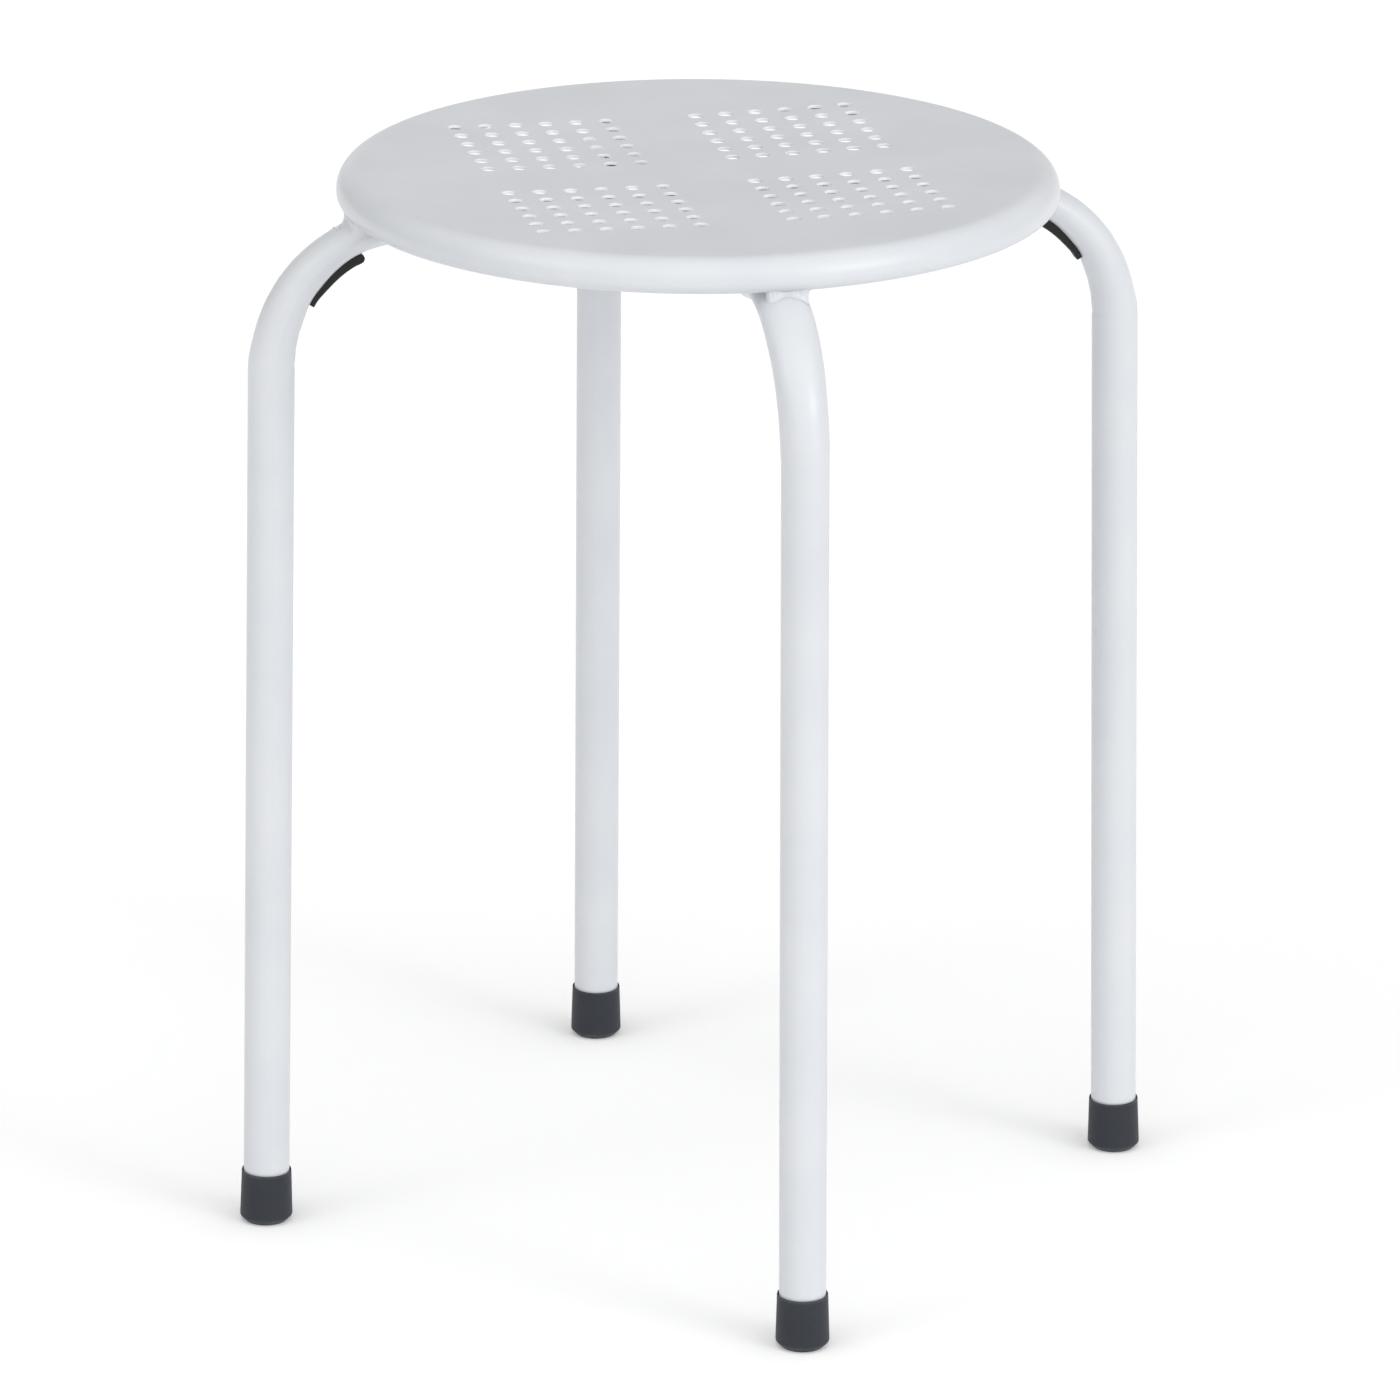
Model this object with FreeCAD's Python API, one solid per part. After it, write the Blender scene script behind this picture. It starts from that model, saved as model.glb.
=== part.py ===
import FreeCAD, Part
import math
import os

os.makedirs("parts", exist_ok=True)
V = FreeCAD.Vector

# Round steel stacking stool. Millimetres, +Z up, origin on the floor under the middle of the seat.
# Legs stand on the +X (right), -X (left), -Y (front) and +Y (back) axes.

# ---- driving dimensions ----
overall_h = 452.0       # floor to seat top
seat_d = 300.0          # outside diameter of the seat pan
sheet_t = 1.2           # seat sheet
dish = 3.2              # how far the middle of the seat lies below the ring where its edge turns over
edge_r = 9.5            # outside radius between seat top and rim
lip_r = 4.5             # outside radius where the rim curls under
rim_h = 14.5            # seat top to the lowest point of the rim
lip_return = 0.6        # flat return behind the curl

hole_d = 6.0            # perforation
hole_edge = 0.45        # rounded upper edge of each perforation
hole_pitch = 13.05      # within a block
hole_n = 6              # holes along each side of a block
block_gap = 38.8        # centre to centre across the plain cross between the blocks

tube_r = 9.7            # outside radius, coat included
tube_wall = 1.5
foot_span_r = 187.5     # leg axis to centre, at the floor
splay_deg = 1.0         # outward lean of each leg
bend_r = 56.0           # centreline radius of the bend
bend_out = 0.09         # flattening of the outer side of the bend, as a share of tube_r
bend_in = 0.29          # flattening of its inner side, which is pressed flatter, under the pad
bend_in_rim = 0.25      # and as much more where it runs in under the rim
bend_wide = 0.12        # widening across the plane of the bend
flat_run = 28.0         # length under the seat over which the tube turns round again
rim_gap = 0.15          # tube top to the rim's curl
cope_gap = 0.1          # play between the half tubes' coped ends and the through tube

cap_h = 22.6            # foot cap
cap_r_low = 11.1
cap_r_top = 10.55
cap_floor = 4.5
cap_chamfer = 2.4
cap_edge_r = 0.9        # rounding of the chamfer's upper edge
cap_fit = 0.10          # radial play of the tube in its cap

pad_w = 7.0             # stacking pad
pad_thick_low = 1.9
pad_thick_high = 4.0
pad_low_deg = 34.5      # angles on the bend, 0 = leg, 90 = under the seat
pad_high_deg = 67.5
pad_round = 1.1         # long edges of the pad
pad_fit = 0.14          # pad to tube
peg_r = 2.2
peg_hole_r = 2.4
peg_degs = (42.5, 60.0)

weld_r = 2.2            # beads at the middle joint
skin = 0.06             # gap left between a bead and the metal it runs along

al = math.radians(splay_deg)
seat_r = seat_d / 2.0


# ---- how a bend flattens ----
def smooth(u):
    u = max(0.0, min(1.0, u))
    return u * u * (3.0 - 2.0 * u)


def squash(t):
    """shares of the outer flattening, the inner flattening and the widening at bend angle t (radians)."""
    d = math.degrees(t - al)
    outer = smooth(d / 14.0) * smooth((89.0 - d) / 34.0)
    inner = 0.3 * smooth(d / 26.0) + 0.7 * smooth((d - 22.0) / 18.0) + bend_in_rim / bend_in * smooth((d - 38.0) / 30.0)
    wide = 0.22 * smooth(d / 6.0) + 0.78 * smooth((d - 8.0) / 56.0)
    return outer, inner, wide


# ---- path of a leg in its own vertical plane ----
arc_z = 373.0
for _ in range(60):
    bend_start_z = arc_z + bend_r * math.sin(al)
    bend_start_r = foot_span_r - bend_start_z * math.tan(al)
    arc_rad = bend_start_r - bend_r * math.cos(al)
    reach = seat_r - lip_r - lip_return - arc_rad
    far = bend_r + tube_r * (1.0 - bend_out * squash(math.acos(reach / (bend_r + tube_r)))[0])
    arc_z = overall_h - rim_h - rim_gap - math.sqrt(far ** 2 - reach ** 2)
tube_z = arc_z + bend_r
round_r = arc_rad - flat_run
leg_low = V(foot_span_r - cap_floor * math.sin(al), 0, cap_floor * math.cos(al))
leg_top = V(bend_start_r, 0, bend_start_z)
print("bend centre r %.2f z %.2f, tube axis under seat z %.2f" % (arc_rad, arc_z, tube_z))


def turn(shape, deg):
    s = shape.copy()
    s.rotate(V(0, 0, 0), V(0, 0, 1), deg)
    return s


def one_solid(shape, name):
    sol = shape.Solids
    if len(sol) != 1:
        raise ValueError("%s has %d solids" % (name, len(sol)))
    if not sol[0].isValid():
        raise ValueError("%s is not valid" % name)
    return sol[0]


# ---- tubes ----
def section(t, keep=1.0):
    """outside half axes across the plane of the bend and in it, and how far the section's middle moves outwards."""
    o, i, w = [keep * v for v in squash(t)]
    far_side, near_side = tube_r * (1.0 - bend_out * o), tube_r * (1.0 - bend_in * i)
    return tube_r * (1.0 + bend_wide * w), 0.5 * (far_side + near_side), 0.5 * (far_side - near_side)


def on_bend(t, off):
    """point in the plane of the leg, off the centreline away from the bend's centre."""
    return V(arc_rad + (bend_r + off) * math.cos(t), 0, arc_z + (bend_r + off) * math.sin(t))


def hoop(p, d, r):
    c = Part.Circle(p, d, r)
    c.XAxis = V(0, 1, 0)
    return c.toShape()


def ring(t, shrink, run=0.0):
    """section at bend angle t, or a share run of the way along the flattened start of the straight part."""
    keep = smooth(1.0 - run)
    a, b, s = section(t, keep)
    c = on_bend(t, s) - V(flat_run * run, 0, 0)
    if max(squash(t)) * keep < 1e-9:
        return Part.Wire([hoop(c, V(-math.sin(t), 0, math.cos(t)), tube_r - shrink)])
    out = V(math.cos(t), 0, math.sin(t))
    return Part.Wire([Part.Ellipse(c + V(0, a - shrink, 0), c + out * (b - shrink), c).toShape()])


def bend(shrink, solid=False):
    n, m = 22, 7
    rings = [ring(al + (math.pi / 2.0 - al) * i / n, shrink) for i in range(n + 1)]
    rings += [ring(math.pi / 2.0, shrink, (i + 1.0) / m) for i in range(m)]
    return Part.makeLoft(rings, solid, False)


def wall(p, q, r):
    d = q.sub(p)
    return hoop(p, d, r).extrude(d)


def end_ring(p, d):
    rings = [Part.Wire([hoop(p, d, r)]) for r in (tube_r, tube_r - tube_wall)]
    return Part.Face(rings, "Part::FaceMakerBullseye")


def leg_faces():
    """open foot end, leg and bend, outside and inside."""
    out = [end_ring(leg_low, leg_top.sub(leg_low))]
    for s in (0.0, tube_wall):
        out.append(wall(leg_low, leg_top, tube_r - s))
        out += bend(s).Faces
    return out


def sewn(faces, name):
    c = Part.makeCompound(faces)
    c.sewShape(1e-3)
    s = Part.Solid(c.Shells[0])
    if s.Volume < 0:
        s.reverse()
    return one_solid(s, name)


def bar(r, x1, x2):
    return Part.Face(Part.Wire([hoop(V(x1, 0, tube_z), V(1, 0, 0), r)])).extrude(V(x2 - x1, 0, 0))


def through_tube():
    """one tube from the right foot, over both bends, to the left foot."""
    leg = leg_faces()
    mid = [wall(V(-round_r, 0, tube_z), V(round_r, 0, tube_z), r) for r in (tube_r, tube_r - tube_wall)]
    return sewn(leg + [turn(f, 180) for f in leg] + mid, "through tube")


def half_tube():
    """tube from the right foot to the middle, its end coped round a crossing tube."""
    run = bar(tube_r, 0.5, round_r).cut(bar(tube_r - tube_wall, 0.0, round_r + 3.0))
    run = run.cut(Part.makeCylinder(tube_r + cope_gap, 80, V(0, -40, tube_z), V(0, 1, 0)))
    run = max(run.Solids, key=lambda s: s.Volume)
    keep = [f for f in run.Faces
            if not (isinstance(f.Surface, Part.Plane) and abs(f.CenterOfMass.x - round_r) < 1e-3)]
    return sewn(leg_faces() + keep, "half tube")


# ---- stacking pads on the inner side of each bend ----
def pad_section(t, thick, lift):
    a, b, s = section(t)
    a, b = a + pad_fit, b + pad_fit
    h = pad_w / 2.0
    y = V(0, 1, 0)
    side = s - b * math.sqrt(1.0 - (h / a) ** 2) - lift
    mid = s - b - lift
    low = mid - thick
    rr = min(pad_round, 0.45 * (side - low))
    k = rr * (1.0 - math.sqrt(0.5))

    def p(off, dy):
        return on_bend(t, off) + y * dy
    arc = Part.Arc
    seg = Part.LineSegment
    return Part.Wire([
        seg(p(side, -h), p(low + rr, -h)).toShape(),
        arc(p(low + rr, -h), p(low + k, -h + k), p(low, -h + rr)).toShape(),
        seg(p(low, -h + rr), p(low, h - rr)).toShape(),
        arc(p(low, h - rr), p(low + k, h - k), p(low + rr, h)).toShape(),
        seg(p(low + rr, h), p(side, h)).toShape(),
        arc(p(side, h), p(mid, 0), p(side, -h)).toShape()])


def make_pad():
    lo, hi = math.radians(pad_low_deg), math.radians(pad_high_deg)
    n = 13
    wires = []
    for i in range(n):
        k = i / float(n - 1)
        wires.append(pad_section(lo + (hi - lo) * k, pad_thick_low + (pad_thick_high - pad_thick_low) * k ** 0.9, 0.0))
    # rounded nose of the thick end
    for f in (25.0, 45.0, 60.0, 72.0):
        f = math.radians(f)
        thick = pad_thick_high * math.cos(f)
        step = 0.5 * pad_thick_high * math.sin(f) / (bend_r - tube_r)
        wires.append(pad_section(hi + step, thick, 0.5 * (pad_thick_high - thick)))
    pad = Part.makeLoft(wires, True, False)
    # moulded pegs that hold the pad in the tube wall
    for d in peg_degs:
        t = math.radians(d)
        rad = V(math.cos(t), 0, math.sin(t))
        a, b, s = section(t)
        stem = Part.makeCylinder(peg_r, 1.0 + tube_wall + 1.6, on_bend(t, s - b - 1.0), rad)
        head = Part.makeCone(peg_r + 0.6, peg_r - 0.7, 2.0, on_bend(t, s - b + tube_wall + 0.5), rad)
        pad = pad.fuse([stem, head])
    return one_solid(pad, "pad")


def peg_holes():
    out = []
    for d in peg_degs:
        t = math.radians(d)
        out.append(Part.makeCylinder(peg_hole_r, 11.5, on_bend(t, -tube_r - 3.0), V(math.cos(t), 0, math.sin(t))))
    return out


# ---- foot cap ----
def make_cap():
    over = 1.5
    prof = [V(0, 0, -over), V(cap_r_low, 0, -over), V(cap_r_low, 0, 3.5), V(cap_r_top, 0, cap_h - 0.5),
            V(cap_r_top - 0.12, 0, cap_h), V(cap_r_top - 0.42, 0, cap_h),
            V(tube_r + 0.28, 0, cap_h - 0.6), V(tube_r + cap_fit, 0, cap_h - 4.2), V(tube_r + cap_fit, 0, cap_floor),
            V(0, 0, cap_floor)]
    cap = revolved(Part.makePolygon(prof + [prof[0]]).Edges)
    cap.rotate(V(0, 0, 0), V(0, 1, 0), -splay_deg)
    cap.translate(V(foot_span_r, 0, 0))
    cap = one_solid(cap.cut(Part.makeBox(80, 80, 20, V(foot_span_r - 40, -40, -20))), "cap blank")
    floor_edges = [e for e in cap.Edges if all(abs(v.Z) < 1e-6 for v in e.Vertexes) and abs(e.CenterOfMass.z) < 1e-6]
    cap = cap.makeChamfer(cap_chamfer, floor_edges)
    upper = [e for e in cap.Edges if abs(e.BoundBox.Center.z - cap_chamfer) < 0.35
             and e.BoundBox.XLength > 2.0 * cap_r_low - 0.5]
    return one_solid(cap.makeFillet(cap_edge_r, upper), "cap")


# ---- seat pan ----
def revolved(edges):
    s = Part.Face(Part.Wire(edges)).revolve(V(0, 0, 0), V(0, 0, 1), 360)
    return s if s.ShapeType == "Solid" else Part.Solid(s.Shells[0])


def line(r1, z1, r2, z2):
    return Part.LineSegment(V(r1, 0, z1), V(r2, 0, z2)).toShape()


def pan_outline(grow):
    """outside of the pan in half section, from the top of the edge round to the underside of the curl."""
    k = math.sqrt(0.5)
    er, lr = edge_r + grow, lip_r + grow
    cr, cz = seat_r - edge_r, overall_h - edge_r
    dr, dz = seat_r - lip_r, overall_h - rim_h + lip_r
    r = seat_r + grow
    return [Part.Arc(V(cr, 0, cz + er), V(cr + er * k, 0, cz + er * k), V(r, 0, cz)).toShape(),
            line(r, cz, r, dz),
            Part.Arc(V(r, 0, dz), V(dr + lr * k, 0, dz - lr * k), V(dr, 0, dz - lr)).toShape()]


def pan_block(grow):
    """the pan as a filled disc, a little bigger all round."""
    top, low = overall_h + grow, overall_h - rim_h - grow
    return revolved(pan_outline(grow) + [line(seat_r - lip_r, low, 0, low), line(0, low, 0, top),
                                         line(0, top, seat_r - edge_r, top)])


# the dished sheet is part of a large sphere that runs smoothly into the rounded edge
edge_at = seat_r - edge_r
sphere_r = (edge_at ** 2 - 2.0 * edge_r * dish + dish ** 2) / (2.0 * dish)
sphere_z = overall_h - dish + sphere_r


def sheet_z(r, depth):
    return sphere_z - math.sqrt((sphere_r + depth) ** 2 - r * r)


def sheet_arc(r1, r2, depth):
    return Part.Arc(*[V(r, 0, sheet_z(r, depth)) for r in (r1, 0.5 * (r1 + r2), r2)]).toShape()


def make_pan():
    t, bot = sheet_t, overall_h - rim_h
    split = 128.0
    # dished middle with the perforations, their upper edges rounded
    disc = revolved([sheet_arc(0.0, split, 0.0), line(split, sheet_z(split, 0.0), split, sheet_z(split, t)),
                     sheet_arc(split, 0.0, t), line(0.0, sheet_z(0.0, t), 0.0, sheet_z(0.0, 0.0))])
    punches = []
    for sx in (-1, 1):
        for sy in (-1, 1):
            for i in range(hole_n):
                for j in range(hole_n):
                    x, y = (block_gap / 2.0 + i * hole_pitch), (block_gap / 2.0 + j * hole_pitch)
                    punches.append(Part.makeCylinder(hole_d / 2.0, 16, V(sx * x, sy * y, overall_h - 10)))
    disc = disc.cut(Part.makeCompound(punches))
    lips = []
    for e in disc.Edges:
        bb = e.BoundBox
        c = bb.Center
        if 4.0 < bb.XLength < 8.0 and 4.0 < bb.YLength < 8.0 and c.z > sheet_z(math.hypot(c.x, c.y), 0.5 * t) and bb.ZLength < 0.8:
            lips.append(e)
    if len(lips) != 4 * hole_n * hole_n:
        raise ValueError("%d upper hole edges" % len(lips))
    disc = disc.makeFillet(hole_edge, lips)
    # outer ring: rounded edge, short wall and inward curl
    cr, cz = edge_at, overall_h - edge_r
    dr, dz = seat_r - lip_r, bot + lip_r
    k = math.sqrt(0.5)
    lean = math.asin(cr / (sphere_r + edge_r))
    half = 0.5 * (math.pi / 2.0 + lean)

    def edge_point(a, depth):
        return V(cr + (edge_r - depth) * math.cos(a), 0, cz + (edge_r - depth) * math.sin(a))
    r_out, r_in = edge_point(math.pi / 2.0 + lean, 0.0).x, edge_point(math.pi / 2.0 + lean, t).x
    li = lip_r - t
    ring = revolved([
        sheet_arc(split, r_out, 0.0),
        Part.Arc(edge_point(math.pi / 2.0 + lean, 0.0), edge_point(half, 0.0), edge_point(0.0, 0.0)).toShape(),
        line(seat_r, cz, seat_r, dz),
        Part.Arc(V(seat_r, 0, dz), V(dr + lip_r * k, 0, dz - lip_r * k), V(dr, 0, bot)).toShape(),
        line(dr, bot, dr - lip_return, bot),
        line(dr - lip_return, bot, dr - lip_return, bot + t),
        line(dr - lip_return, bot + t, dr, bot + t),
        Part.Arc(V(dr, 0, bot + t), V(dr + li * k, 0, dz - li * k), V(seat_r - t, 0, dz)).toShape(),
        line(seat_r - t, dz, seat_r - t, cz),
        Part.Arc(edge_point(0.0, t), edge_point(half, t), edge_point(math.pi / 2.0 + lean, t)).toShape(),
        sheet_arc(r_in, split, t),
        line(split, sheet_z(split, t), split, sheet_z(split, 0.0))])
    return one_solid(disc.fuse(ring).removeSplitter(), "seat pan")


# ---- weld beads ----
def capsule(p, q, r1, r2):
    """rounded bead from p to q, thicker or thinner at each end."""
    d = q.sub(p)
    body = Part.makeCone(r1, r2, d.Length, p, d)
    return body.fuse([Part.makeSphere(r1, p), Part.makeSphere(r2, q)])


def rim_weld():
    """two beads between the tube and the rim's curl, made for a leg on +X."""
    leg = bend(-skin, True)
    seat = pan_block(skin)
    r = seat_r - 1.2
    spans = [((-6.2, -0.9), (-2.4, -0.4), 2.0, 1.6), ((6.2, -0.9), (9.2, -2.6), 1.8, 2.3)]
    base = overall_h - rim_h
    out = []
    for (y1, z1), (y2, z2), r1, r2 in spans:
        b = capsule(V(r, y1, base + z1), V(r, y2, base + z2), r1, r2).cut(seat).cut(leg)
        out.append(max(b.Solids, key=lambda s: s.Volume))
    return Part.makeCompound(out)


def centre_weld():
    """a bead in each of the four corners where the half tubes meet the through tube."""
    lim = math.radians(60.0)
    seam = Part.Ellipse(V(tube_r, tube_r, tube_z), V(0, 0, tube_z + tube_r), V(0, 0, tube_z))
    path = Part.Wire([Part.ArcOfEllipse(seam, -lim, lim).toShape()])
    ends = [path.OrderedVertexes[0].Point, path.OrderedVertexes[-1].Point]
    edge = path.Edges[0]
    start = edge.valueAt(edge.FirstParameter)
    section = Part.Wire([Part.Circle(start, edge.tangentAt(edge.FirstParameter), weld_r).toShape()])
    bead = path.makePipeShell([section], True, True)
    bead = bead.fuse([Part.makeSphere(weld_r, p) for p in ends])
    clear = tube_r + skin
    bead = bead.cut(Part.makeCylinder(clear, 80, V(-40, 0, tube_z), V(1, 0, 0)))
    bead = bead.cut(Part.makeCylinder(clear, 80, V(0, -40, tube_z), V(0, 1, 0)))
    bead = max(bead.Solids, key=lambda q: q.Volume)
    return Part.makeCompound([turn(bead, d) for d in (0, 90, 180, 270)])


# ---- build ----
nodes = {}
nodes["seat_pan"] = make_pan()

holes = peg_holes()
tube = through_tube().cut(holes + [turn(h, 180) for h in holes])
nodes["tube_left_right"] = one_solid(tube, "left-right tube")
half = one_solid(half_tube().cut(holes), "half tube with peg holes")
nodes["tube_front"] = turn(half, -90)
nodes["tube_back"] = turn(half, 90)

cap = make_cap()
pad = make_pad()
beads = rim_weld()
for side, deg in (("right", 0), ("back", 90), ("left", 180), ("front", -90)):
    nodes["foot_cap_" + side] = turn(cap, deg)
    nodes["stack_pad_" + side] = turn(pad, deg)
    nodes["rim_weld_" + side] = turn(beads, deg)
nodes["centre_weld"] = centre_weld()

for name, shape in nodes.items():
    sol = shape.Solids
    ok = all(s.isValid() and s.isClosed() for s in sol)
    bb = shape.BoundBox
    print("%-18s solids %d valid %s volume %.1f  box %.1f %.1f %.1f .. %.1f %.1f %.1f" % (
        name, len(sol), ok, shape.Volume, bb.XMin, bb.YMin, bb.ZMin, bb.XMax, bb.YMax, bb.ZMax))
    shape.exportStep("parts/%s.step" % name)
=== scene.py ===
import bmesh
import bpy
import math
from mathutils import Matrix, Vector


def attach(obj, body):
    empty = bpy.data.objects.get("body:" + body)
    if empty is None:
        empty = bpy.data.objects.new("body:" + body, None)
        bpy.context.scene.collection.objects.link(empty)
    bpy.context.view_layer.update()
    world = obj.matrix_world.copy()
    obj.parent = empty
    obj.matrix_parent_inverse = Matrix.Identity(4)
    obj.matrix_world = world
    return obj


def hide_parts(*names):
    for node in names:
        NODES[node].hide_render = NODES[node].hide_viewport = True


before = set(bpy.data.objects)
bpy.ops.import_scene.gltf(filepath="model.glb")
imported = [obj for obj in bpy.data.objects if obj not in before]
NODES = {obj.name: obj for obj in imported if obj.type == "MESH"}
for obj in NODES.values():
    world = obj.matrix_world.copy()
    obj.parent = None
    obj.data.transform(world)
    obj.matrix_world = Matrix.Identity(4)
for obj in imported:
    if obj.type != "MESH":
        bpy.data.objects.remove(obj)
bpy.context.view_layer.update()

SIDES = ("right", "back", "left", "front")

# ---------------------------------------------------------------- camera
LENS_PX, FRAME_PX = 8878.6, 1400.0
AZ, EL, ROLL = math.radians(-13.785), math.radians(18.412), math.radians(0.227)
AIM_X, AIM_Z, DIST = 0.001561, 0.21814, 3.75146
back = Vector((math.sin(AZ) * math.cos(EL), -math.cos(AZ) * math.cos(EL), math.sin(EL)))
right = Vector((0, 0, 1)).cross(back).normalized()
up = back.cross(right)
r2 = right * math.cos(ROLL) + up * math.sin(ROLL)
u2 = up * math.cos(ROLL) - right * math.sin(ROLL)
place = Vector((0, 0, AIM_Z)) + right * AIM_X + back * DIST
cam_data = bpy.data.cameras.new("camera")
cam = bpy.data.objects.new("camera", cam_data)
bpy.context.scene.collection.objects.link(cam)
rot = Matrix((r2, u2, back)).transposed()
cam.matrix_world = Matrix.Translation(place) @ rot.to_4x4()
cam_data.sensor_width = 36.0
cam_data.lens = 36.0 * LENS_PX / FRAME_PX
cam_data.clip_start, cam_data.clip_end = 0.05, 60.0
bpy.context.scene.camera = cam


# ---------------------------------------------------------------- node helpers
class Tree:
    def __init__(self, tree):
        self.t = tree

    def add(self, kind, **values):
        n = self.t.nodes.new(kind)
        for k, v in values.items():
            setattr(n, k, v)
        return n

    def link(self, a, b):
        self.t.links.new(a, b)

    def put(self, socket, value):
        if hasattr(value, "is_output"):
            self.link(value, socket)
        else:
            socket.default_value = value

    def math(self, op, a, b=0.0, clamp=False):
        n = self.add("ShaderNodeMath", operation=op, use_clamp=clamp)
        self.put(n.inputs[0], a)
        self.put(n.inputs[1], b)
        return n.outputs[0]

    def noise(self, vec, scale, detail=3.0, rough=0.5, distort=0.0):
        n = self.add("ShaderNodeTexNoise")
        self.put(n.inputs["Vector"], vec)
        self.put(n.inputs["Scale"], scale)
        self.put(n.inputs["Detail"], detail)
        self.put(n.inputs["Roughness"], rough)
        self.put(n.inputs["Distortion"], distort)
        return n.outputs["Fac"]

    def span(self, value, a, b, lo, hi):
        n = self.add("ShaderNodeMapRange")
        self.put(n.inputs["Value"], value)
        for name, v in (("From Min", a), ("From Max", b), ("To Min", lo), ("To Max", hi)):
            n.inputs[name].default_value = v
        return n.outputs["Result"]

    def mix(self, fac, a, b, kind="MIX"):
        n = self.add("ShaderNodeMix", data_type="RGBA", blend_type=kind)
        self.put(n.inputs["Factor"], fac)
        self.put(n.inputs[6], a)
        self.put(n.inputs[7], b)
        return n.outputs[2]

    def bump(self, height, strength, distance, normal=None):
        n = self.add("ShaderNodeBump")
        self.put(n.inputs["Height"], height)
        n.inputs["Strength"].default_value = strength
        n.inputs["Distance"].default_value = distance
        if normal is not None:
            self.link(normal, n.inputs["Normal"])
        return n.outputs["Normal"]


def new_material(name):
    m = bpy.data.materials.new(name)
    m.use_nodes = True
    t = Tree(m.node_tree)
    bsdf = [n for n in m.node_tree.nodes if n.type == "BSDF_PRINCIPLED"][0]
    where = t.add("ShaderNodeTexCoord").outputs["Object"]
    return m, t, bsdf, where


# ---------------------------------------------------------------- materials
def hole_wall_highlight_mask(t, p):
    """1 on the walls and rounded edges of the perforations, 0 on the plain sheet: where the painted highlight of the
    hole walls goes.
    """
    xyz = t.add("ShaderNodeSeparateXYZ")
    t.link(p, xyz.inputs[0])
    squares = []
    for i in (0, 1):
        along = t.math("SUBTRACT", t.math("ABSOLUTE", xyz.outputs[i]), 0.0194)
        cell = t.math("MINIMUM", t.math("MAXIMUM", t.math("ROUND", t.math("DIVIDE", along, 0.01305)), 0.0), 5.0)
        off = t.math("SUBTRACT", along, t.math("MULTIPLY", cell, 0.01305))
        squares.append(t.math("MULTIPLY", off, off))
    dist = t.math("SQRT", t.math("ADD", squares[0], squares[1]))
    return t.span(dist, 0.00305, 0.00340, 1.0, 0.0)


def powder_coat(name, paint_hole_highlight=False):
    """light grey-white satin powder coat: fine orange peel, faint clouding, a few rub marks."""
    m, t, b, p = new_material(name)
    cloud = t.noise(p, 22.0, 4.0, 0.55)
    speck = t.noise(p, 900.0, 2.0, 0.6)
    tone = t.mix(t.span(cloud, 0.35, 0.65, 0.0, 1.0), (0.625, 0.644, 0.672, 1), (0.655, 0.672, 0.698, 1))
    tone = t.mix(t.span(speck, 0.62, 0.74, 0.0, 0.10), tone, (0.52, 0.54, 0.565, 1))
    if paint_hole_highlight:
        # painted highlight: the walls and rounded edges of the punched holes are painted whiter to stand in for the
        # light they catch
        tone = t.mix(hole_wall_highlight_mask(t, p), tone, (0.73, 0.74, 0.755, 1))
    t.link(tone, b.inputs["Base Color"])
    rub = t.noise(p, 60.0, 5.0, 0.7, 0.6)
    rough = t.math("ADD", t.span(cloud, 0.3, 0.7, 0.30, 0.36), t.span(rub, 0.55, 0.72, 0.0, 0.07))
    t.link(rough, b.inputs["Roughness"])
    b.inputs["IOR"].default_value = 1.5
    peel = t.noise(p, 420.0, 2.0, 0.5)
    wave = t.noise(p, 90.0, 2.0, 0.5)
    n1 = t.bump(peel, 0.25, 0.00005)
    n2 = t.bump(wave, 0.22, 0.00014, n1)
    t.link(n2, b.inputs["Normal"])
    return m


def cap_rubber():
    """dark charcoal push-on foot: dull, fine grain, paler where it rubs."""
    m, t, b, p = new_material("cap_rubber")
    cloud = t.noise(p, 120.0, 4.0, 0.6)
    dust = t.noise(p, 700.0, 3.0, 0.7)
    xyz = t.add("ShaderNodeSeparateXYZ")
    t.link(p, xyz.inputs[0])
    foot = t.span(xyz.outputs[2], 0.0012, 0.0034, 1.0, 0.0)
    lip = t.span(xyz.outputs[2], 0.0214, 0.0224, 0.0, 0.8)
    worn = t.math("MULTIPLY", t.math("MAXIMUM", foot, lip), t.span(cloud, 0.35, 0.65, 0.35, 1.0))
    tone = t.mix(cloud, (0.0190, 0.0222, 0.0300, 1), (0.0272, 0.0315, 0.0405, 1))
    tone = t.mix(t.span(dust, 0.60, 0.72, 0.0, 0.35), tone, (0.060, 0.064, 0.070, 1))
    tone = t.mix(worn, tone, (0.067, 0.073, 0.081, 1))
    t.link(tone, b.inputs["Base Color"])
    b.inputs["Specular IOR Level"].default_value = 0.32
    t.link(t.span(dust, 0.3, 0.7, 0.46, 0.60), b.inputs["Roughness"])
    grain = t.noise(p, 2200.0, 2.0, 0.6)
    n1 = t.bump(grain, 0.35, 0.00006)
    n2 = t.bump(cloud, 0.25, 0.00020, n1)
    t.link(n2, b.inputs["Normal"])
    return m


def pad_plastic():
    """black stacking strip: matte, finely textured."""
    m, t, b, p = new_material("pad_plastic")
    cloud = t.noise(p, 160.0, 4.0, 0.6)
    grain = t.noise(p, 2600.0, 2.0, 0.6)
    tone = t.mix(cloud, (0.004, 0.0045, 0.005, 1), (0.009, 0.010, 0.011, 1))
    t.link(tone, b.inputs["Base Color"])
    b.inputs["Specular IOR Level"].default_value = 0.35
    t.link(t.span(cloud, 0.3, 0.7, 0.42, 0.55), b.inputs["Roughness"])
    t.link(t.bump(grain, 0.4, 0.00006), b.inputs["Normal"])
    return m


COAT, PAN, CAP, PAD = powder_coat("powder_coat"), powder_coat("powder_coat_pan", True), cap_rubber(), pad_plastic()


for name, o in NODES.items():
    o.data.materials.clear()
    o.data.materials.append(CAP if name.startswith("foot_cap") else PAD if name.startswith("stack_pad")
                            else PAN if name == "seat_pan" else COAT)


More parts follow.
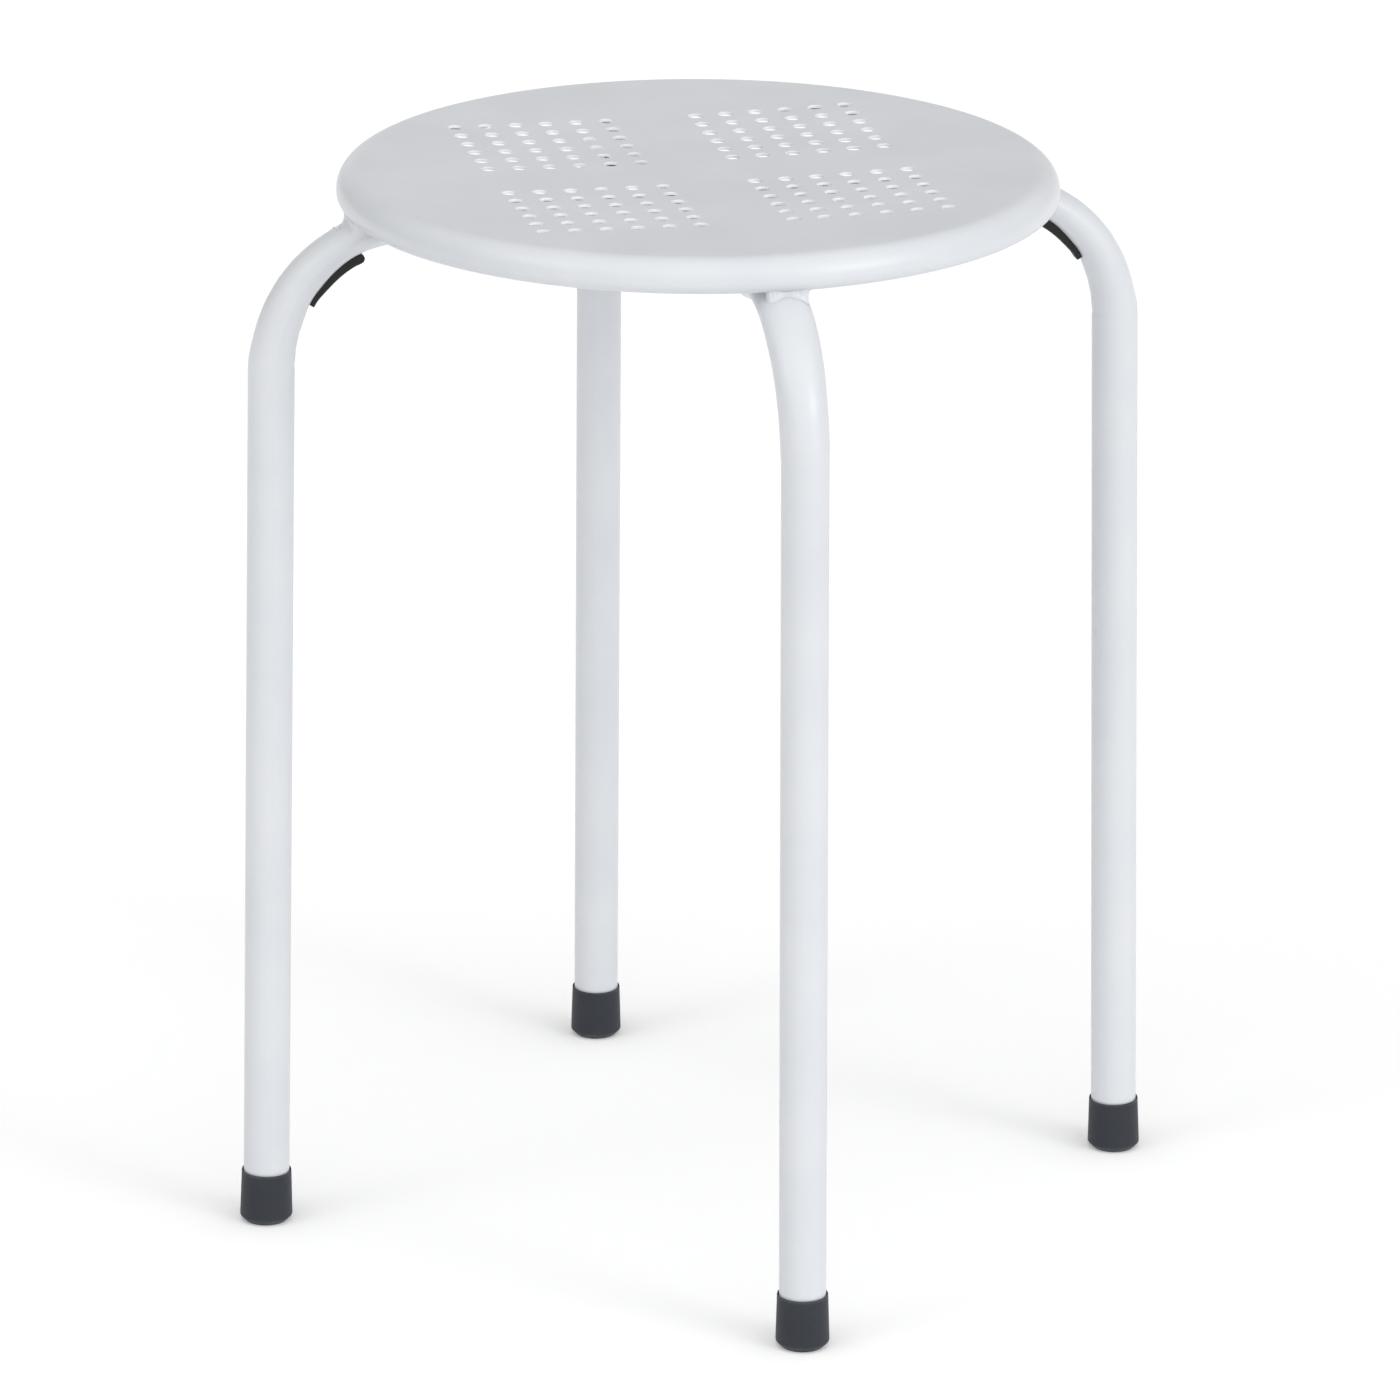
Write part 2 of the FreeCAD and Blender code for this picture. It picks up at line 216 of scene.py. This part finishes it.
# ---------------------------------------------------------------- rim welds
# One painted fillet per leg in the corner between the rim's curl and the top of the tube. Millimetres, for a leg on +X.
ARC_R, ARC_Z, BEND_R, TUBE_R = 124.94, 375.24, 56.0, 9.7
CURL_R, CURL_Z, CURL = 145.5, 442.0, 4.5
ROOT_X, ROOT_DEG = 146.9, -82.0


def smooth(u):
    u = max(0.0, min(1.0, u))
    return u * u * (3.0 - 2.0 * u)


def tube_top(y, t):
    """point (x, z) on the outer side of the bend at bend angle t, y off its plane."""
    d = math.degrees(t) - 1.0
    outer = smooth(d / 14.0) * smooth((89.0 - d) / 34.0)
    inner = 0.3 * smooth(d / 26.0) + 0.7 * smooth((d - 22.0) / 18.0) + 0.862 * smooth((d - 38.0) / 30.0)
    wide = 0.22 * smooth(d / 6.0) + 0.78 * smooth((d - 8.0) / 56.0)
    far, near = TUBE_R * (1.0 - 0.09 * outer), TUBE_R * (1.0 - 0.29 * inner)
    a = TUBE_R * (1.0 + 0.12 * wide)
    off = 0.5 * (far - near) + 0.5 * (far + near) * math.sqrt(max(0.0, 1.0 - (y / a) ** 2))
    return ARC_R + (BEND_R + off) * math.cos(t), ARC_Z + (BEND_R + off) * math.sin(t)


def on_tube(y, x, lift=0.05):
    lo, hi = math.radians(35.0), math.radians(88.0)
    for _ in range(30):
        mid = 0.5 * (lo + hi)
        lo, hi = (lo, mid) if tube_top(y, mid)[0] < x else (mid, hi)
    px, pz = tube_top(y, 0.5 * (lo + hi))
    return px, pz + lift


def round_tube(phi, x, lift=0.05):
    """point (x, y, z) on the bend at distance x out, phi degrees round the section from its outer side."""
    lo, hi = math.radians(30.0), math.radians(88.0)
    f = math.radians(phi)
    for _ in range(34):
        t = 0.5 * (lo + hi)
        top, low = tube_top(0.0, t), tube_top(1e3, t)
        y, k = (TUBE_R * 1.12 + lift) * math.sin(f), math.cos(f)
        px, pz = low[0] + (top[0] - low[0]) * k + lift * k * math.cos(t), low[1] + (top[1] - low[1]) * k + lift * k * math.sin(t)
        lo, hi = (lo, t) if px < x else (t, hi)
    return px, y, pz


def on_curl(y, deg, lift=0.05):
    a = math.radians(deg)
    rho = CURL_R + (CURL + lift) * math.cos(a)
    return math.sqrt(rho * rho - y * y), y, CURL_Z + (CURL + lift) * math.sin(a)


def wobble(y, seed, k):
    return math.sin(1.9 * k * y + 1.7 * seed) * 0.6 + math.sin(3.4 * k * y + 2.9 * seed + 1.0) * 0.4


def eased(keys, u):
    """smooth curve through the stations."""
    i = min(int(u), len(keys) - 2)
    f = u - i
    p0, p1, p2, p3 = keys[max(i - 1, 0)], keys[i], keys[i + 1], keys[min(i + 2, len(keys) - 1)]
    return [0.5 * (2 * b + (c - a) * f + (2 * a - 5 * b + 4 * c - d) * f * f + (3 * b - a - 3 * c + d) * f ** 3)
            for a, b, c, d in zip(p0, p1, p2, p3)]


def bead_mesh(keys, seed):
    """closed fillet; a station is (degrees round the tube and distance out of the toe, y and degrees on the curl,
    degrees round the tube and distance out of the corner, hollowness, lumpiness)."""
    verts, faces = [], []
    n, m = (len(keys) - 1) * 9, 14
    for i in range(n + 1):
        phi, toe, yc, up_to, phk, xk, hollow, lump = eased(keys, (len(keys) - 1) * i / n)
        toe += 0.28 * lump * wobble(yc, seed, 1.0)
        up_to += 4.0 * lump * wobble(yc + 1.3, seed + 1, 0.8)
        hollow -= 0.30 * lump * wobble(yc + 3.3, 2 * seed, 0.9)
        a, b, k = Vector(on_curl(yc, up_to)), Vector(round_tube(phi, toe)), Vector(round_tube(phk, xk))
        # both edges leave the metal along its own surface, so that the fillet blends into it
        p = Vector(on_curl(yc + (k[1] - yc) * 0.5 * hollow, up_to + (-84.0 - up_to) * 0.5 * hollow))
        q = Vector(round_tube(phi + (phk - phi) * 0.6 * hollow, toe + (xk - toe) * 0.6 * hollow))
        for j in range(m + 1):
            u = j / m
            verts.append(tuple(a * (1 - u) ** 3 + p * (3 * u * (1 - u) ** 2) + q * (3 * u * u * (1 - u)) + b * u ** 3))
        inner = -math.degrees(math.acos(max(-0.8, min(0.104, (xk - 145.6) / 4.55))))
        verts += [round_tube(0.5 * (phi + phk), 0.5 * (toe + xk)), round_tube(phk, xk), on_curl(k[1], inner), on_curl(0.5 * (yc + k[1]), 0.5 * (up_to + inner))]
    c = m + 5
    for i in range(n):
        for j in range(c):
            a, b = i * c + j, i * c + (j + 1) % c
            faces.append((a, b, b + c, a + c))
    faces.append(tuple(reversed(range(c))))
    faces.append(tuple(n * c + j for j in range(c)))
    return verts, faces


def mirrored(keys):
    return [(-k[0], k[1], -k[2], k[3], -k[4]) + tuple(k[5:]) for k in reversed(keys)]


def weld_piece(side, deg, keys, seed, drops=()):
    verts, faces = bead_mesh(keys, seed)
    for y, x, r in drops:
        px, pz = on_tube(y, x, 0.0)
        base, nu, nv = len(verts), 14, 7
        for i in range(1, nv):
            a = math.pi * i / nv
            for j in range(nu):
                f = 2.0 * math.pi * j / nu
                bump = 1.0 + 0.07 * math.sin(3.0 * f + 5.0 * x)
                verts.append((px + r * bump * math.sin(a) * math.cos(f), y + 1.15 * r * bump * math.sin(a) * math.sin(f),
                              pz + 0.15 * r + 0.62 * r * math.cos(a) - 0.45 * r * bump * math.sin(a) * math.cos(f)))
        for i in range(nv - 2):
            for j in range(nu):
                p, q = base + i * nu + j, base + i * nu + (j + 1) % nu
                faces.append((p, p + nu, q + nu, q))
        faces.append(tuple(base + j for j in range(nu)))
        faces.append(tuple(base + (nv - 2) * nu + j for j in reversed(range(nu))))
    a = math.radians(deg)
    co, si = math.cos(a), math.sin(a)
    verts = [((x * co - y * si) / 1000.0, (x * si + y * co) / 1000.0, z / 1000.0) for x, y, z in verts]
    me = bpy.data.meshes.new("weld_" + side)
    me.from_pydata(verts, [], faces)
    me.validate()
    bm = bmesh.new()
    bm.from_mesh(me)
    bmesh.ops.recalc_face_normals(bm, faces=bm.faces)
    for e in bm.edges:
        if len(e.link_faces) == 2 and e.calc_face_angle(0.0) > 0.8:
            e.smooth = False
    bm.to_mesh(me)
    bm.free()
    for f in me.polygons:
        f.use_smooth = True
    me.materials.append(COAT)
    o = bpy.data.objects.new("weld_" + side, me)
    bpy.context.scene.collection.objects.link(o)
    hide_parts("rim_weld_" + side)
    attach(o, "root")
    return o


# the end of a weld that wraps round the shoulder of the tube, and one that stops short of it
WRAP = [(54, 150.4, 8.6, -42, 42, 147.1, 0.95, 0.1), (65, 150.2, 10.2, -44, 46, 146.9, 0.95, 0.0), (73, 149.6, 11.4, -50, 49, 146.6, 0.95, 0.0),
        (77, 148.4, 12.2, -62, 51, 146.2, 0.95, 0.0), (79, 146.9, 12.5, -77, 52, 145.7, 0.95, 0.0), (79, 145.2, 12.5, -94, 52, 145.0, 0.95, 0.0),
        (79, 143.4, 12.4, -112, 52, 143.6, 0.95, 0.0), (78, 141.8, 12.0, -130, 51, 142.2, 0.95, 0.0), (73, 140.8, 11.0, -142, 50, 141.2, 0.9, 0.0),
        (60, 140.6, 9.3, -146, 49, 140.8, 0.9, 0.0)]
STOP = [(36, 149.9, 6.4, -50, 34, 147.1, 0.8, 0.6), (42, 149.0, 7.3, -62, 41, 147.0, 0.85, 0.3), (46, 147.5, 7.8, -78, 45, 147.0, 0.9, 0.0)]
SMALL = [(50, 149.7, 8.0, -47, 42, 147.1, 0.95, 0.0), (58, 149.3, 9.3, -51, 46, 146.9, 0.95, 0.0), (64, 148.5, 10.4, -61, 49, 146.6, 0.95, 0.0),
         (67, 147.4, 11.0, -74, 51, 146.2, 0.95, 0.0), (68, 146.1, 11.2, -88, 52, 145.5, 0.95, 0.0), (67, 144.8, 11.0, -102, 52, 144.5, 0.95, 0.0),
         (61, 143.7, 10.1, -112, 51, 143.6, 0.9, 0.0), (54, 143.3, 9.2, -114, 50, 143.3, 0.9, 0.0)]
FRONT = mirrored(STOP) + [(-24, 150.1, -4.4, -47, -23, 147.2, 0.7, 0.8), (-12, 149.7, -2.2, -50, -11, 147.2, 0.75, 0.6),
                          (-3, 149.0, -0.6, -60, -3, 147.2, 0.85, 0.1), (8, 149.0, 1.5, -60, 8, 147.2, 0.9, 0.0), (16, 149.3, 3.0, -54, 15, 147.2, 0.9, 0.0),
                          (25, 149.4, 4.6, -53, 22, 147.2, 0.9, 0.0), (32, 149.4, 5.8, -57, 28, 147.2, 0.9, 0.0), (41, 149.7, 7.1, -48, 35, 147.2, 0.95, 0.0)] + SMALL
weld_piece("front", -90, FRONT, 1)
weld_piece("left", 180, mirrored(WRAP) + [(-38, 150.6, -6.6, -44, -33, 147.2, 0.9, 0.2), (-20, 150.7, -3.6, -43, -18, 147.2, 0.85, 0.3),
                                          (0, 150.8, 0.0, -42, 0, 147.2, 0.9, 0.2), (20, 150.8, 3.6, -41, 18, 147.2, 0.95, 0.1),
                                          (38, 150.7, 6.6, -41, 33, 147.2, 0.95, 0.0)] + WRAP, 2, drops=((1.0, 152.6, 0.95), (-4.2, 153.4, 0.6)))
weld_piece("back", 90, mirrored(WRAP) + [(-38, 150.6, -6.6, -43, -33, 147.2, 0.6, 0.6), (-16, 150.6, -3.0, -44, -15, 147.2, 0.5, 0.8),
                                         (-4, 149.9, -0.8, -54, -4, 147.2, 0.6, 0.2), (10, 150.5, 1.9, -44, 9, 147.2, 0.55, 0.6),
                                         (25, 150.8, 4.6, -43, 22, 147.2, 0.6, 0.5)] + STOP, 3)
weld_piece("right", 0, mirrored(WRAP) + [(-40, 150.9, -7.0, -41, -34, 147.2, 0.7, 0.2), (-25, 150.4, -4.6, -46, -23, 147.2, 0.6, 0.4),
                                         (-10, 150.8, -1.9, -43, -9, 147.2, 0.5, 0.7), (6, 150.6, 1.1, -44, 6, 147.2, 0.5, 0.7),
                                         (22, 150.5, 4.1, -46, 20, 147.2, 0.6, 0.4)] + STOP, 4)


# ---------------------------------------------------------------- floor
def floor_material():
    m, t, b, p = new_material("studio_floor")
    cloud = t.noise(p, 1.3, 3.0, 0.5)
    t.link(t.mix(cloud, (0.90, 0.90, 0.90, 1), (0.92, 0.92, 0.92, 1)), b.inputs["Base Color"])
    b.inputs["Roughness"].default_value = 0.9
    b.inputs["Specular IOR Level"].default_value = 0.1
    b.inputs["Emission Color"].default_value = (1, 1, 1, 1)
    b.inputs["Emission Strength"].default_value = 0.132
    return m


mesh = bpy.data.meshes.new("floor")
s = 14.0
mesh.from_pydata([(-s, -s, 0), (s, -s, 0), (s, s, 0), (-s, s, 0)], [], [(0, 1, 2, 3)])
floor = bpy.data.objects.new("floor", mesh)
bpy.context.scene.collection.objects.link(floor)
mesh.materials.append(floor_material())


# ---------------------------------------------------------------- light
# Soft studio light from all round, as a sum of broad lobes: azimuth (0 = camera side of the Y axis, + to the right),
# elevation, sharpness, strength.
LOBES = [
    (-180, 4, 28, 1.000), (-144, 4, 12, 0.129), (-108, 4, 12, 0.069), (-72, 4, 12, 0.252), (-36, 4, 12, 0.507),
    (0, 4, 12, 0.616), (36, 4, 12, 0.462), (72, 4, 12, 0.307), (108, 4, 12, 0.351), (144, 4, 12, 0.525),
    (-162, 31, 12, 0.131), (-126, 31, 12, 0.195), (-90, 31, 12, 0.353), (-54, 31, 12, 0.536), (-18, 31, 12, 0.760),
    (18, 31, 12, 0.730), (54, 31, 12, 0.471), (90, 31, 12, 0.321), (126, 31, 12, 0.214),
    (-180, 58, 12, 0.292), (-120, 58, 12, 0.547), (-60, 58, 12, 0.728), (0, 58, 12, 0.838), (60, 58, 12, 0.666),
    (120, 58, 12, 0.334), (0, 90, 12, 0.683),
    (41, 25, 60, 7.083), (-72, 42, 60, 2.493)]


def lobe_light(tree, lobes):
    way = tree.add("ShaderNodeTexCoord").outputs["Generated"]
    total = None
    for az, el, sharp, strength in lobes:
        a, e = math.radians(az), math.radians(el)
        dot = tree.add("ShaderNodeVectorMath", operation="DOT_PRODUCT")
        tree.link(way, dot.inputs[0])
        dot.inputs[1].default_value = (math.sin(a) * math.cos(e), -math.cos(a) * math.cos(e), math.sin(e))
        glow = tree.math("MULTIPLY", tree.math("POWER", tree.math("MAXIMUM", dot.outputs["Value"], 0.0), sharp), strength)
        total = glow if total is None else tree.math("ADD", total, glow)
    return total


def light_world(lobes):
    world = bpy.data.worlds.new("studio")
    bpy.context.scene.world = world
    world.use_nodes = True
    tree = Tree(world.node_tree)
    bg = [n for n in world.node_tree.nodes if n.type == "BACKGROUND"][0]
    bg.inputs["Color"].default_value = (1, 1, 1, 1)
    tree.link(lobe_light(tree, lobes), bg.inputs["Strength"])


light_world(LOBES)

sc = bpy.context.scene
sc.view_settings.view_transform = "Standard"
sc.view_settings.look = "None"
sc.view_settings.exposure = 0.0
sc.view_settings.gamma = 1.0
